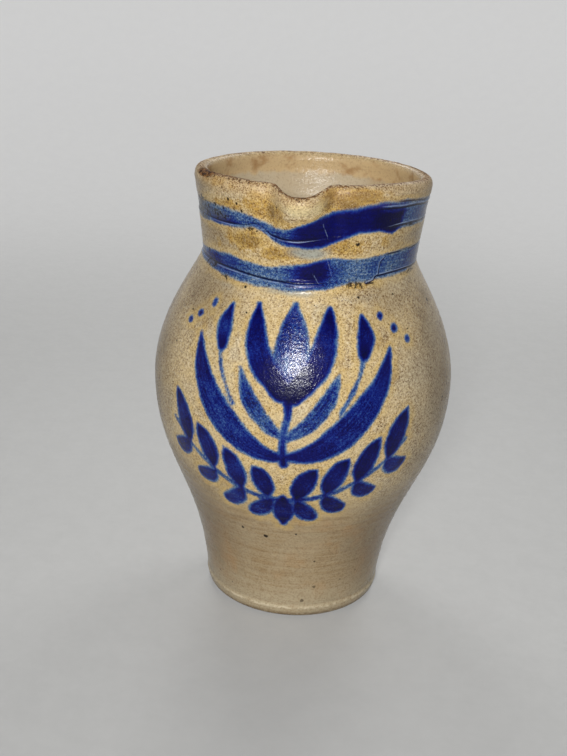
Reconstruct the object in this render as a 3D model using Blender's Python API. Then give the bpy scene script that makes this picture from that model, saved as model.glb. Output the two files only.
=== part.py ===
"""Stoneware pitcher: thrown body with a pulled spout, strap handle and the clay round its two roots.

Metres, +Z up. The origin is the middle of the flat base. The spout points along -Y and the handle along +Y.
"""
import math

import bmesh
import bpy
from mathutils import Vector

# Foot and floor
FOOT_FACE_RADIUS = 0.0508
FOOT_BEAD_RADIUS = 0.0541
FOOT_BEAD_HEIGHT = 0.0080
FOOT_BEAD_SWELL = 0.0008
FLOOR_THICKNESS = 0.0095

# Wall of the belly, from the foot bead to the neck
WALL_START_RADIUS = 0.0546
BELLY_RADIUS = 0.0902
BELLY_HEIGHT = 0.1420
LOWER_WALL_LEAN = 0.0064
LOWER_WALL_STRETCH = 0.0670
LOWER_BELLY_ROUND = 0.0530
UPPER_BELLY_ROUND = 0.0385
WALL_THICKNESS = 0.0065

# Neck, collar and lip
RIM_HEIGHT = 0.2650
COLLAR_HEIGHT = 0.0460
NECK_RADIUS = 0.0630
NECK_HOLLOW_IN = 0.0025
NECK_HOLLOW_DOWN = 0.0072
COLLAR_BOW = 0.0005
LIP_RADIUS = 0.0685
LIP_ROUND = 0.0055
LIP_THICKNESS = 0.0078
NECK_HEIGHT = RIM_HEIGHT - COLLAR_HEIGHT
LIP_HEIGHT = RIM_HEIGHT - LIP_ROUND

# Spout, pulled forward from the lip and pinched in on both sides
SPOUT_REACH = 0.0085
SPOUT_DIP = 0.0062
SPOUT_HALF_WIDTH = 0.0130
SPOUT_DEPTH = 0.0360
PINCH_IN = 0.0022
PINCH_OFFSET = 0.0180

# The front of the rim lifts with the pull, fully beside the spout and fading to the sides
RIM_LIFT = 0.0033
LIFT_FULL_ANGLE = math.radians(36.0)
LIFT_END_ANGLE = math.radians(115.0)

# Strap handle
HANDLE_WIDTH = 0.0300
HANDLE_THICKNESS = 0.0110
HANDLE_BELOW_RIM = 0.0280
HANDLE_ROOT_ABOVE_BELLY = 0.0140
HANDLE_STAND_OFF = 0.0308
HANDLE_LOW_BULGE = 0.0180
HANDLE_ARCH = 0.0230
HANDLE_DROP = 0.0280
TOP_RISE = 0.0070
ROOT_FALL = 0.0050
ROOT_DEPTH = 0.0160
TOP_WIDENING = 0.0018
ROOT_NARROWING = 0.0024
TOP_THICKENING = 0.0006
ROOT_THINNING = 0.0006
HANDLE_TOP_HEIGHT = RIM_HEIGHT - HANDLE_BELOW_RIM
HANDLE_ROOT_HEIGHT = BELLY_HEIGHT + HANDLE_ROOT_ABOVE_BELLY
HANDLE_REACH = BELLY_RADIUS + HANDLE_STAND_OFF

# Clay worked round the handle's roots
LUTING_SPREAD = 0.0085
LUTING_RISE = 0.0150
LUTING_EDGE = 0.0009

# Space left between two neighbouring pieces
JOINT_GAP = 0.0003

# How finely the round shapes are divided
FRONT_STEP = math.radians(3.0)
FRONT_STEPS = 28
BACK_STEPS = 42
HANDLE_STATIONS = 40
STRAP_SIDES = 24


def bezier(a, b, c, d, count):
    """Points of a cubic curve from a to d, the first one left out."""
    points = []
    for k in range(1, count + 1):
        t = k / count
        s = 1.0 - t
        point = a * (s ** 3) + b * (3 * s * s * t) + c * (3 * s * t * t) + d * (t ** 3)
        points.append(point)
    return points


def outer_profile():
    """Radius and height of the outside, from the edge of the base to the widest ring of the lip."""
    base_edge = Vector((FOOT_FACE_RADIUS, 0.0))
    bead_low = Vector((FOOT_BEAD_RADIUS, FOOT_BEAD_HEIGHT * 0.12))
    bead_high = Vector((FOOT_BEAD_RADIUS + FOOT_BEAD_SWELL, FOOT_BEAD_HEIGHT * 0.62))
    wall_start = Vector((WALL_START_RADIUS, FOOT_BEAD_HEIGHT))
    belly = Vector((BELLY_RADIUS, BELLY_HEIGHT))
    neck = Vector((NECK_RADIUS, NECK_HEIGHT))
    lip = Vector((LIP_RADIUS, LIP_HEIGHT))
    points = [base_edge]
    points += bezier(base_edge, bead_low, bead_high, wall_start, 4)
    lean = wall_start + Vector((LOWER_WALL_LEAN, LOWER_WALL_STRETCH))
    points += bezier(wall_start, lean, belly - Vector((0.0, LOWER_BELLY_ROUND)), belly, 12)
    hollow = neck - Vector((NECK_HOLLOW_IN, NECK_HOLLOW_DOWN))
    points += bezier(belly, belly + Vector((0.0, UPPER_BELLY_ROUND)), hollow, neck, 13)
    third = (lip - neck) / 3.0
    bow = Vector((-COLLAR_BOW, 0.0))
    points += bezier(neck, neck + third + bow, neck + third * 2.0 + bow, lip, 5)
    return points


def lip_profile(lip):
    """Rounded lip over the top of the wall, from its widest ring to its inner edge."""
    half = LIP_THICKNESS / 2.0
    rise = RIM_HEIGHT - LIP_HEIGHT
    points = []
    for k in range(1, 7):
        angle = math.pi * k / 6
        radius = lip.x - half + half * math.cos(angle)
        points.append(Vector((radius, LIP_HEIGHT + rise * math.sin(angle))))
    return points


def inner_profile(outer):
    """Inside wall, one wall thickness in from the outside, down to the middle of the floor."""
    points = []
    last = len(outer) - 1
    for k in range(last - 1, 0, -1):
        along = (outer[k + 1] - outer[k - 1]).normalized()
        point = outer[k] + Vector((-along.y, along.x)) * WALL_THICKNESS
        if point.y > FLOOR_THICKNESS + WALL_THICKNESS * 1.6:
            points.append(point)
    corner = points[-1]
    start = Vector((corner.x - WALL_THICKNESS * 1.6, FLOOR_THICKNESS))
    middle = Vector((corner.x - WALL_THICKNESS * 0.25, FLOOR_THICKNESS + WALL_THICKNESS * 0.25))
    points += bezier(corner, corner * 0.4 + middle * 0.6, middle * 0.6 + start * 0.4, start, 4)
    points.append(Vector((start.x * 0.5, FLOOR_THICKNESS)))
    return points


def smooth(value):
    value = min(max(value, 0.0), 1.0)
    return value * value * (3.0 - 2.0 * value)


def pulled(radius, height, angle):
    """Move one point of the wall as the spout is pulled: out, pinched at the sides, and down from the lifted rim."""
    turn = abs(math.atan2(math.sin(angle), math.cos(angle)))
    across = turn * LIP_RADIUS
    rise = smooth((height - RIM_HEIGHT + SPOUT_DEPTH) / SPOUT_DEPTH)
    top = smooth((height - RIM_HEIGHT + SPOUT_DEPTH * 0.6) / (SPOUT_DEPTH * 0.6))
    nose = math.exp(-(across / SPOUT_HALF_WIDTH) ** 2.3)
    side = math.exp(-((across - PINCH_OFFSET) / (SPOUT_HALF_WIDTH * 0.5)) ** 2)
    lift = smooth((LIFT_END_ANGLE - turn) / (LIFT_END_ANGLE - LIFT_FULL_ANGLE))
    radius += (SPOUT_REACH * nose - PINCH_IN * side) * rise
    height += (RIM_LIFT * lift - SPOUT_DIP * nose) * top
    return Vector((radius * math.sin(angle), -radius * math.cos(angle), height))


def wall_angles():
    """Angles round the axis from the spout, finer at the front where the lip is pulled."""
    front = FRONT_STEP * FRONT_STEPS
    angles = [FRONT_STEP * (k - FRONT_STEPS / 2) for k in range(FRONT_STEPS)]
    rest = math.tau - front
    angles += [front / 2 + rest * k / BACK_STEPS for k in range(BACK_STEPS)]
    return angles


def object_from(name, bm):
    """One closed object with its faces pointing out."""
    bmesh.ops.remove_doubles(bm, verts=bm.verts, dist=0.000001)
    bmesh.ops.recalc_face_normals(bm, faces=bm.faces)
    mesh = bpy.data.meshes.new(name)
    bm.to_mesh(mesh)
    bm.free()
    thing = bpy.data.objects.new(name, mesh)
    bpy.context.scene.collection.objects.link(thing)
    return thing


def turned(name, profile, angles, shape):
    """Closed solid of rings round the axis, capped at both ends of the profile."""
    bm = bmesh.new()
    rings = []
    for point in profile:
        rings.append([bm.verts.new(shape(point.x, point.y, angle)) for angle in angles])
    for low, high in zip(rings, rings[1:]):
        for k in range(len(angles)):
            n = (k + 1) % len(angles)
            bm.faces.new((low[k], low[n], high[n], high[k]))
    for ring, height in ((rings[0], profile[0].y), (rings[-1], profile[-1].y)):
        middle = bm.verts.new((0.0, 0.0, height))
        for k in range(len(angles)):
            bm.faces.new((middle, ring[k], ring[(k + 1) % len(angles)]))
    return object_from(name, bm)


def wall_radius(outer, height):
    """Outside radius of the wall at one height."""
    for low, high in zip(outer, outer[1:]):
        if low.y <= height <= high.y:
            share = (height - low.y) / (high.y - low.y)
            return low.x + (high.x - low.x) * share
    return outer[-1].x


def handle_path(outer):
    """Middle line of the handle, starting and ending inside the wall that cuts it off."""
    top_radius = wall_radius(outer, HANDLE_TOP_HEIGHT)
    root_radius = wall_radius(outer, HANDLE_ROOT_HEIGHT)
    start = Vector((0.0, top_radius - ROOT_DEPTH, HANDLE_TOP_HEIGHT - TOP_RISE))
    end = Vector((0.0, root_radius - ROOT_DEPTH, HANDLE_ROOT_HEIGHT - ROOT_FALL))
    over = Vector((0.0, HANDLE_REACH, HANDLE_TOP_HEIGHT + HANDLE_ARCH))
    down = Vector((0.0, HANDLE_REACH + HANDLE_LOW_BULGE, HANDLE_ROOT_HEIGHT + HANDLE_DROP))
    return [start] + bezier(start, over, down, end, HANDLE_STATIONS)


def strap_point(path, k, side, scale, grow):
    """Point on one side of the strap's flattened oval, scaled about its middle and then grown."""
    last = len(path) - 1
    along = (path[min(k + 1, last)] - path[max(k - 1, 0)]).normalized()
    out = Vector((0.0, along.z, -along.y))
    share = k / last
    width = HANDLE_WIDTH + TOP_WIDENING * (1.0 - share) - ROOT_NARROWING * share
    thickness = HANDLE_THICKNESS + TOP_THICKENING * (1.0 - share) - ROOT_THINNING * share
    wide = width / 2.0 * scale + grow
    thick = thickness / 2.0 * scale + grow
    angle = math.tau * side / STRAP_SIDES
    across = math.copysign(abs(math.cos(angle)) ** 0.75, math.cos(angle))
    depth = math.copysign(abs(math.sin(angle)) ** 0.75, math.sin(angle))
    return path[k] + Vector((wide * across, 0.0, 0.0)) + out * (thick * depth)


def wall_hit(wall, path, stations, side, scale, grow):
    """Where one line along the strap runs into the wall, and the last station before it."""
    before = None
    for k in stations:
        point = strap_point(path, k, side, scale, grow)
        room = math.hypot(point.x, point.y) - wall_radius(wall, point.z)
        if room <= 0.0:
            return before[0].lerp(point, before[1] / (before[1] - room)), before[2]
        before = (point, room, k)
    return before[0], before[2]


def ring_of(bm, points):
    return [bm.verts.new(point) for point in points]


def skin(bm, rings):
    """Faces between neighbouring rings."""
    for low, high in zip(rings, rings[1:]):
        for side in range(STRAP_SIDES):
            n = (side + 1) % STRAP_SIDES
            bm.faces.new((low[side], low[n], high[n], high[side]))


def strap(name, wall, path):
    """The strap from wall to wall, its ends hollowed to the wall's curve."""
    half = HANDLE_STATIONS // 2
    to_top = range(half, -1, -1)
    to_root = range(half, HANDLE_STATIONS + 1)
    bm = bmesh.new()
    ends = []
    for stations in (to_top, to_root):
        caps = []
        for scale in (0.0, 0.25, 0.5, 0.75, 1.0):
            hits = [wall_hit(wall, path, stations, side, scale, 0.0) for side in range(STRAP_SIDES)]
            caps.append(hits)
        ends.append(caps)
    first = max(hit[1] for hit in ends[0][-1])
    last = min(hit[1] for hit in ends[1][-1])
    rings = [ring_of(bm, [hit[0] for hit in caps]) for caps in ends[0]]
    for k in range(first, last + 1):
        rings.append(ring_of(bm, [strap_point(path, k, side, 1.0, 0.0) for side in range(STRAP_SIDES)]))
    rings += [ring_of(bm, [hit[0] for hit in caps]) for caps in reversed(ends[1])]
    skin(bm, rings)
    return object_from(name, bm)


def luting(name, wall, path, stations):
    """Clay worked in a hollow curve from the wall up on to one root of the handle."""
    stations = list(stations)
    foot = JOINT_GAP + LUTING_EDGE + LUTING_SPREAD
    sides = range(STRAP_SIDES)
    hole = [wall_hit(wall, path, stations, side, 1.0, JOINT_GAP) for side in sides]
    corner = [wall_hit(wall, path, stations, side, 1.0, JOINT_GAP + LUTING_EDGE)[0] for side in sides]
    under = [wall_hit(wall, path, stations, side, 1.0, foot * 0.5)[0] for side in sides]
    edge = [wall_hit(wall, path, stations, side, 1.0, foot)[0] for side in sides]
    reach = min(stations.index(hit[1]) for hit in hole)
    travelled = 0.0
    while travelled < LUTING_RISE:
        travelled += (path[stations[reach]] - path[stations[reach - 1]]).length
        reach -= 1
    top = stations[reach]
    inner_top = [strap_point(path, top, side, 1.0, JOINT_GAP) for side in sides]
    outer_top = [strap_point(path, top, side, 1.0, JOINT_GAP + LUTING_EDGE) for side in sides]
    raised = []
    for side in sides:
        away = (outer_top[side] - corner[side]).normalized()
        raised.append(edge[side] + away * LUTING_EDGE)
    bm = bmesh.new()
    loops = [[hit[0] for hit in hole], under, edge, raised]
    for step in range(1, 6):
        t = step / 5
        curve = []
        for side in sides:
            lift = (outer_top[side] - corner[side]).normalized() * LUTING_EDGE
            bend = corner[side] + lift
            low = raised[side].lerp(bend, t)
            high = bend.lerp(outer_top[side], t)
            curve.append(low.lerp(high, t))
        loops.append(curve)
    loops.append(inner_top)
    hole_stations = stations[reach + 1:min(stations.index(hit[1]) for hit in hole) + 1]
    for k in hole_stations:
        loops.append([strap_point(path, k, side, 1.0, JOINT_GAP) for side in sides])
    rings = [ring_of(bm, loop) for loop in loops]
    skin(bm, rings + [rings[0]])
    return object_from(name, bm)


def finish(thing, colour, roughness):
    """Own material, and a shade that rounds the curved faces."""
    material = bpy.data.materials.new(thing.name)
    material.use_nodes = True
    shader = material.node_tree.nodes["Principled BSDF"]
    shader.inputs["Base Color"].default_value = colour
    shader.inputs["Roughness"].default_value = roughness
    thing.data.materials.append(material)
    for polygon in thing.data.polygons:
        polygon.use_smooth = True


def build():
    for thing in list(bpy.data.objects):
        bpy.data.objects.remove(thing, do_unlink=True)

    outer = outer_profile()
    whole = outer + lip_profile(outer[-1]) + inner_profile(outer)
    angles = wall_angles()
    body = turned("thrown_body", whole, angles, pulled)

    # The wall's outside, grown by the joint gap, ends the handle and the clay round it.
    wall = []
    for k, point in enumerate(outer):
        along = (outer[min(k + 1, len(outer) - 1)] - outer[max(k - 1, 0)]).normalized()
        wall.append(point + Vector((along.y, -along.x)) * JOINT_GAP)

    path = handle_path(outer)
    half = HANDLE_STATIONS // 2
    handle = strap("strap_handle", wall, path)
    upper = luting("upper_handle_luting", wall, path, range(half, -1, -1))
    lower = luting("lower_handle_luting", wall, path, range(half, HANDLE_STATIONS + 1))

    finish(body, (0.48, 0.39, 0.27, 1.0), 0.38)
    finish(handle, (0.47, 0.38, 0.26, 1.0), 0.40)
    finish(upper, (0.45, 0.36, 0.25, 1.0), 0.42)
    finish(lower, (0.45, 0.36, 0.25, 1.0), 0.42)


build()
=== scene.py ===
"""Looks of the stoneware pitcher: salt-glazed clay, cobalt brushwork, worn lip, studio floor and camera."""
import math

import bpy
import numpy as np
from mathutils import Matrix, Vector


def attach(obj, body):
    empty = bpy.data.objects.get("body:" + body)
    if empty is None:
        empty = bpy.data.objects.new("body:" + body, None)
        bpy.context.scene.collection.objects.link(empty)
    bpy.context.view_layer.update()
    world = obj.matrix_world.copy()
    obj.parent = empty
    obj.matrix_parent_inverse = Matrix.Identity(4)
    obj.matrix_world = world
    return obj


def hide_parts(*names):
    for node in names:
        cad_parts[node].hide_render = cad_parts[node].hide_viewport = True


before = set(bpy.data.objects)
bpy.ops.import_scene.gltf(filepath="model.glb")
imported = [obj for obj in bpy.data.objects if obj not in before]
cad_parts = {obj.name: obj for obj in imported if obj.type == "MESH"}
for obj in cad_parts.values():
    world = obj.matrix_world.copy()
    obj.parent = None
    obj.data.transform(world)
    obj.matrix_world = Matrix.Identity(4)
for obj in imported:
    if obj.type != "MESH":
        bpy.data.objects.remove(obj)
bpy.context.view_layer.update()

MM = 0.001

# Sizes of the wall in metres, the same as the solids have
RIM_HEIGHT = 0.265
BELLY_RADIUS = 0.0902
BELLY_HEIGHT = 0.142
FOOT_FACE_RADIUS = 0.0508
FOOT_BEAD_RADIUS = 0.0541
FOOT_BEAD_HEIGHT = 0.008
FOOT_BEAD_SWELL = 0.0008
FLOOR_THICKNESS = 0.0095
WALL_START_RADIUS = 0.0546
LOWER_WALL_LEAN = 0.0064
LOWER_WALL_STRETCH = 0.067
LOWER_BELLY_ROUND = 0.053
UPPER_BELLY_ROUND = 0.0385
WALL_THICKNESS = 0.0065
NECK_RADIUS = 0.063
NECK_HEIGHT = RIM_HEIGHT - 0.046
NECK_HOLLOW_IN = 0.0025
NECK_HOLLOW_DOWN = 0.0072
COLLAR_BOW = 0.0005
LIP_RADIUS = 0.0685
LIP_HEIGHT = RIM_HEIGHT - 0.0055
LIP_THICKNESS = 0.0078

# The mesh's own: round of the lip, where the inside starts below it, and the round from wall to floor
LIP_SIDE_POWER = 0.85
LIP_TOP_POWER = 0.8
LIP_INNER_DROP = 0.004
FLOOR_ROUND = WALL_THICKNESS * 1.6
FLOOR_ROUND_IN = WALL_THICKNESS * 0.25
FLOOR_FAN_RADIUS = 0.006

# Spout and the lift of the rim beside it, a little more on the right than on the left
SPOUT_REACH = 0.0085
SPOUT_DIP = 0.005
SPOUT_HALF_WIDTH = 0.0122
SPOUT_POWER = 2.6
SPOUT_DEPTH = 0.036
SPOUT_DIP_DEPTH = SPOUT_DEPTH * 0.6
SPOUT_TURN = math.radians(-0.2)
PINCH_IN = 0.0029
PINCH_OFFSET = 0.018
PINCH_HALF_WIDTH = SPOUT_HALF_WIDTH * 0.5
RIM_LIFT_LEFT = 0.0026
RIM_LIFT_RIGHT = 0.004
LIFT_CHANGE_ANGLE = 0.3
LIFT_FULL_ANGLE = math.radians(36.0)
LIFT_END_ANGLE = math.radians(115.0)

# Strap handle, the same as the solid, and the clay round its roots
HANDLE_WIDTH = 0.03
HANDLE_THICKNESS = 0.011
HANDLE_TOP_HEIGHT = RIM_HEIGHT - 0.028
HANDLE_ROOT_HEIGHT = BELLY_HEIGHT + 0.014
HANDLE_REACH = BELLY_RADIUS + 0.0308
HANDLE_LOW_BULGE = 0.018
HANDLE_ARCH = 0.023
HANDLE_DROP = 0.028
TOP_RISE = 0.007
ROOT_FALL = 0.005
ROOT_DEPTH = 0.016
TOP_WIDENING = 0.0018
ROOT_NARROWING = 0.0024
END_THICKENING = 0.0006
STRAP_CORNER = 0.75
ROOT_CLAY_SPREAD = 9.2 * MM
ROOT_CLAY_RISE = 17 * MM
ROOT_CLAY_EDGE = 0.25 * MM
ROOT_CLAY_WANDER = 0.5 * MM

# Fineness of the meshes
FRONT_SPAN = 88.0
FRONT_COLUMNS = 208
BACK_COLUMNS = 76
LIP_RINGS = 24
INNER_FINE_ABOVE = 0.205
HANDLE_STATIONS = 96
HANDLE_SIDES = 56
STAGE_SIDES = 128

# Spacing of the rings outside, close at cut lines and edges of paint, as (up to this height, spacing) in mm
RING_SPACING = (
    (10, 0.6), (64, 2.4), (202, 1.7), (206, 1.1), (220, 0.5), (234, 1.0), (258, 0.5), (math.inf, 0.7),
)

# Distance in mm that stands for a place far from all paint and fine lines
FAR = 40.0


def smooth(low, high, value):
    """Smooth step from 0 at low to 1 at high, for numbers or arrays."""
    share = np.clip((np.asarray(value, dtype=float) - low) / (high - low), 0.0, 1.0)
    return share * share * (3.0 - 2.0 * share)


def bell(value, width):
    return np.exp(-(np.asarray(value, dtype=float) / width) ** 2)


def cubic(a, b, c, d, count):
    """Points of a cubic curve from a to d, the first one left out."""
    t = np.linspace(0.0, 1.0, count + 1)[1:, None]
    s = 1.0 - t
    return s ** 3 * a + 3 * s * s * t * b + 3 * s * t * t * c + t ** 3 * d


def squared_off(wave, power):
    """Wave from -1 to 1 that a power under 1 bends towards a square one."""
    return np.sign(wave) * np.abs(wave) ** power


def unit(rows):
    return rows / np.linalg.norm(rows, axis=1)[:, None]


def outer_curve(count=400):
    """Fine points of the outside wall as radius and height, from the base's edge to the lip's widest ring."""
    base, bead_low, bead_high, start, belly, neck, lip = np.array((
        (FOOT_FACE_RADIUS, 0.0),
        (FOOT_BEAD_RADIUS, FOOT_BEAD_HEIGHT * 0.12),
        (FOOT_BEAD_RADIUS + FOOT_BEAD_SWELL, FOOT_BEAD_HEIGHT * 0.62),
        (WALL_START_RADIUS, FOOT_BEAD_HEIGHT),
        (BELLY_RADIUS, BELLY_HEIGHT),
        (NECK_RADIUS, NECK_HEIGHT),
        (LIP_RADIUS, LIP_HEIGHT),
    ))
    lean = start + (LOWER_WALL_LEAN, LOWER_WALL_STRETCH)
    hollow = neck - (NECK_HOLLOW_IN, NECK_HOLLOW_DOWN)
    third = (lip - neck) / 3.0
    bowed = neck - (COLLAR_BOW, 0.0)
    return np.vstack((
        base[None, :],
        cubic(base, bead_low, bead_high, start, count // 8),
        cubic(start, lean, belly - (0.0, LOWER_BELLY_ROUND), belly, count),
        cubic(belly, belly + (0.0, UPPER_BELLY_ROUND), hollow, neck, count),
        cubic(neck, bowed + third, bowed + 2 * third, lip, count // 2),
    ))


OUTER = outer_curve()


def wall_radius(height):
    return np.interp(height, OUTER[:, 1], OUTER[:, 0])


def outer_spacing(height):
    return next(spacing for limit, spacing in RING_SPACING if height / MM < limit) * MM


def inner_spacing(height):
    return (1.6 if height > INNER_FINE_ABOVE else 5.0) * MM


def walked(curve, spacing):
    """Points along a curve of radius and height, as far apart as the spacing says for each height."""
    steps = np.linalg.norm(np.diff(curve, axis=0), axis=1)
    length = np.concatenate(([0.0], np.cumsum(steps)))
    places = [0.0]
    while places[-1] < length[-1]:
        height = np.interp(places[-1], length, curve[:, 1])
        places.append(places[-1] + spacing(height))
    places[-1] = length[-1]
    return np.stack([np.interp(places, length, curve[:, k]) for k in (0, 1)], axis=1)


def lip_rings():
    half = LIP_THICKNESS / 2.0
    angle = math.pi * np.arange(1, LIP_RINGS + 1) / LIP_RINGS
    side = squared_off(np.cos(angle), LIP_SIDE_POWER)
    radius = LIP_RADIUS - half + half * side
    height = LIP_HEIGHT + (RIM_HEIGHT - LIP_HEIGHT) * np.sin(angle) ** LIP_TOP_POWER
    return np.stack((radius, height), axis=1)


def inner_rings():
    """Inside wall, one thickness in from the outside, then the round at its foot and the floor."""
    along = unit(np.gradient(OUTER, axis=0))
    inner = OUTER + np.stack((-along[:, 1], along[:, 0]), axis=1) * WALL_THICKNESS
    inner = inner[::-1]
    lowest = FLOOR_THICKNESS + FLOOR_ROUND
    inner = inner[(inner[:, 1] > lowest) & (inner[:, 1] < LIP_HEIGHT - LIP_INNER_DROP)]
    wall = walked(inner, inner_spacing)
    corner = wall[-1]
    start = np.array((corner[0] - FLOOR_ROUND, FLOOR_THICKNESS))
    middle = np.array((corner[0] - FLOOR_ROUND_IN, FLOOR_THICKNESS + FLOOR_ROUND_IN))
    turn = cubic(corner, corner * 0.4 + middle * 0.6, middle * 0.6 + start * 0.4, start, 8)
    flat = np.stack((np.linspace(start[0], FLOOR_FAN_RADIUS, 7)[1:], np.full(6, FLOOR_THICKNESS)), axis=1)
    return np.vstack((wall, turn, flat))


def columns():
    """Angles from the spout, close together on the front half and wider apart behind."""
    front = np.linspace(-FRONT_SPAN, FRONT_SPAN, FRONT_COLUMNS + 1)[:-1]
    back = np.linspace(FRONT_SPAN, 360.0 - FRONT_SPAN, BACK_COLUMNS + 1)[:-1]
    return np.radians(np.concatenate((front, back)))


def spread(angle):
    """Angle folded to the range from minus half a turn to half a turn."""
    return np.arctan2(np.sin(angle), np.cos(angle))


def around(radius, angle, height):
    """Points at a radius, an angle from the spout and a height."""
    return np.stack((radius * np.sin(angle), -radius * np.cos(angle), height), axis=1)


def pulled(radius, height, angle):
    """The spout's pull on a point of the wall: out, pinched at the sides, and down from the lifted rim."""
    turn = spread(angle)
    across = np.abs(turn - SPOUT_TURN) * LIP_RADIUS
    rise = smooth(RIM_HEIGHT - SPOUT_DEPTH, RIM_HEIGHT, height)
    top = smooth(RIM_HEIGHT - SPOUT_DIP_DEPTH, RIM_HEIGHT, height)
    nose = np.exp(-(across / SPOUT_HALF_WIDTH) ** SPOUT_POWER)
    side = bell(across - PINCH_OFFSET, PINCH_HALF_WIDTH)
    right = smooth(-LIFT_CHANGE_ANGLE, LIFT_CHANGE_ANGLE, turn)
    lift = smooth(LIFT_END_ANGLE, LIFT_FULL_ANGLE, np.abs(turn))
    lift *= RIM_LIFT_LEFT + (RIM_LIFT_RIGHT - RIM_LIFT_LEFT) * right
    radius = radius + (SPOUT_REACH * nose - PINCH_IN * side) * rise
    return radius, height + (lift - SPOUT_DIP * nose) * top


def through(keys, angle, column=1):
    """Smooth closed curve through a few keys round the pot, each one degrees and then values."""
    places = np.array([key[0] for key in keys], dtype=float)
    values = np.array([key[column] for key in keys], dtype=float)
    wrapped_places = np.concatenate((places - 360.0, places, places + 360.0))
    wrapped_values = np.concatenate((values, values, values))
    degrees = np.degrees(spread(angle))
    shifts = (-2.4, -1.2, 0.0, 1.2, 2.4)
    total = np.zeros_like(degrees)
    for shift in shifts:
        total += np.interp(degrees + shift, wrapped_places, wrapped_values)
    return total / len(shifts)


# Edges of the two brushed bands on the collar, as (degrees from the spout, height in mm)
UPPER_TOP = (
    (-175, 251), (-110, 249.5), (-62, 249.2), (-44, 250.6), (-25, 249.2), (-12, 244.6), (-7, 243.8),
    (1, 249), (9, 252.6), (22, 255), (38, 257.4), (56, 257.4), (80, 256), (130, 253),
)
UPPER_FOOT = (
    (-175, 242.5), (-110, 240), (-67, 239), (-38, 240.2), (-21, 243), (-14, 238), (-7, 234.6), (9, 234.2),
    (17, 237.5), (27, 242.8), (41, 243.4), (45.5, 240.8), (50, 242.6), (53, 243.6), (67, 243.6), (130, 242),
)
LOWER_TOP = (
    (-175, 226), (-110, 222.5), (-67, 221.8), (-40, 224.8), (-16, 221.8), (-5, 224.6), (3, 225.4),
    (7, 227.6), (15, 230), (28, 229), (42, 230.2), (56, 231.5), (78, 230), (130, 228),
)
LOWER_FOOT = (
    (-175, 216), (-110, 215), (-69, 214.8), (-45, 212.6), (-16, 210.9), (-3, 210.2), (12, 211.9),
    (26, 215.5), (45, 216.4), (70, 217.2), (130, 217),
)

# Lines cut into the collar on the wheel, as (degrees, height in mm, depth share)
BAND_FOOT_LINE = (
    (-175, 217.5, 0.6), (-60, 217, 0.8), (-35, 216.6, 0.9), (-17, 215.3, 0.9), (-1, 214.6, 0.8),
    (10, 215.3, 0.6), (28, 216.6, 0.15), (38, 217.4, 0.4), (42, 217.9, 1.0), (51, 218.5, 1.0),
    (63, 218.4, 1.0), (80, 217.4, 1.0), (130, 217.5, 0.7),
)
SUNK_FOOT_LINE = (
    (-175, 243, 0.7), (-59, 242.4, 0.7), (-37, 242.6, 0.9), (-27, 243.4, 0.5), (-20, 246, 0.7),
    (-16, 241, 0.8), (-9, 238.9, 1.0), (-1, 238.6, 1.0), (9, 240.9, 0.6), (30, 243.5, 0.1), (42, 244.4, 0.5),
    (52, 245.5, 1.0), (63, 245.5, 1.0), (75, 244.5, 1.0), (130, 243.5, 0.7),
)
SUNK_TOP_LINE = (
    (-175, 252.5, 0.7), (-100, 250.5, 0.7), (-60, 250, 0.5), (-20, 250.5, 0.1), (10, 252, 0.0),
    (34, 254, 0.1), (41, 254.1, 0.9), (51, 253.8, 1.0), (62, 254.1, 1.0), (77, 252.9, 1.0), (130, 252.8, 0.8),
)
CUT_LINES = (
    BAND_FOOT_LINE,
    SUNK_FOOT_LINE,
    SUNK_TOP_LINE,
    (
        (-175, 227, 0.4), (-120, 226, 0.0), (20, 229, 0.0), (40, 229.2, 0.0), (45, 229.5, 0.9),
        (52, 230.2, 1.0), (61, 230.6, 1.0), (77, 229.6, 1.0), (130, 228, 0.6),
    ),
    ((-175, 256, 0.0), (43, 257, 0.0), (49, 256.8, 0.7), (61, 256.4, 0.8), (72, 255.4, 0.8), (110, 256, 0.0)),
    (
        (-175, 226, 0.0), (-24, 227, 0.0), (-18, 226.4, 0.5), (-10, 225.2, 0.5), (-4, 225, 0.0),
        (130, 226, 0.0),
    ),
)
CUT_HALF_WIDTH = 0.55 * MM
RIDGE_HALF_WIDTH = 0.45 * MM
CUT_IN = 0.7
RIDGE_OUT = 0.16
SUNK_IN = 0.3 * MM
SUNK_EDGE = 0.8 * MM
BAND_RIDGE_OUT = 0.22 * MM
BAND_RIDGE_HALF_WIDTH = 0.8 * MM
FOOT_GROOVE_HEIGHT = 9.8 * MM
FOOT_GROOVE_HALF_WIDTH = 1.1 * MM
FOOT_GROOVE_IN = 0.3 * MM
FOOT_RIDGE_HEIGHT = 7.3 * MM
FOOT_RIDGE_HALF_WIDTH = 0.8 * MM


def cut_depth(height, angle):
    """How deep the cut lines are at each point, from 0 to 1, and the ridge of clay pushed up beside them.

    The ridge lies under a line on the left and in front, and above it on the right.
    """
    depth = np.zeros_like(height)
    ridge = np.zeros_like(height)
    # The ridge's mask also places the painted highlight along each line
    side = (2.0 * smooth(24.0, 36.0, np.degrees(spread(angle))) - 0.9) * MM
    for keys in CUT_LINES:
        centre = through(keys, angle) * MM
        share = through(keys, angle, 2)
        depth = np.maximum(depth, bell(height - centre, CUT_HALF_WIDTH) * share)
        ridge = np.maximum(ridge, bell(height - centre - side, RIDGE_HALF_WIDTH) * share)
    return depth, ridge


def ripple(height, angle):
    """Slow waves left by the potter's fingers on the wall, strongest low down."""
    low = smooth(118 * MM, 70 * MM, height) * smooth(8 * MM, 22 * MM, height)
    turn = height / (5.6 * MM) * math.tau + angle
    fine = height / (2.1 * MM) * math.tau + angle * 2.0
    wave = np.sin(turn + 1.3 * np.sin(height / (31 * MM))) * 0.17 + np.sin(fine) * 0.035
    broad = np.sin(height / (17 * MM) + angle) * 0.09
    return (wave * (0.25 + 0.75 * low) + broad) * MM


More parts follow.
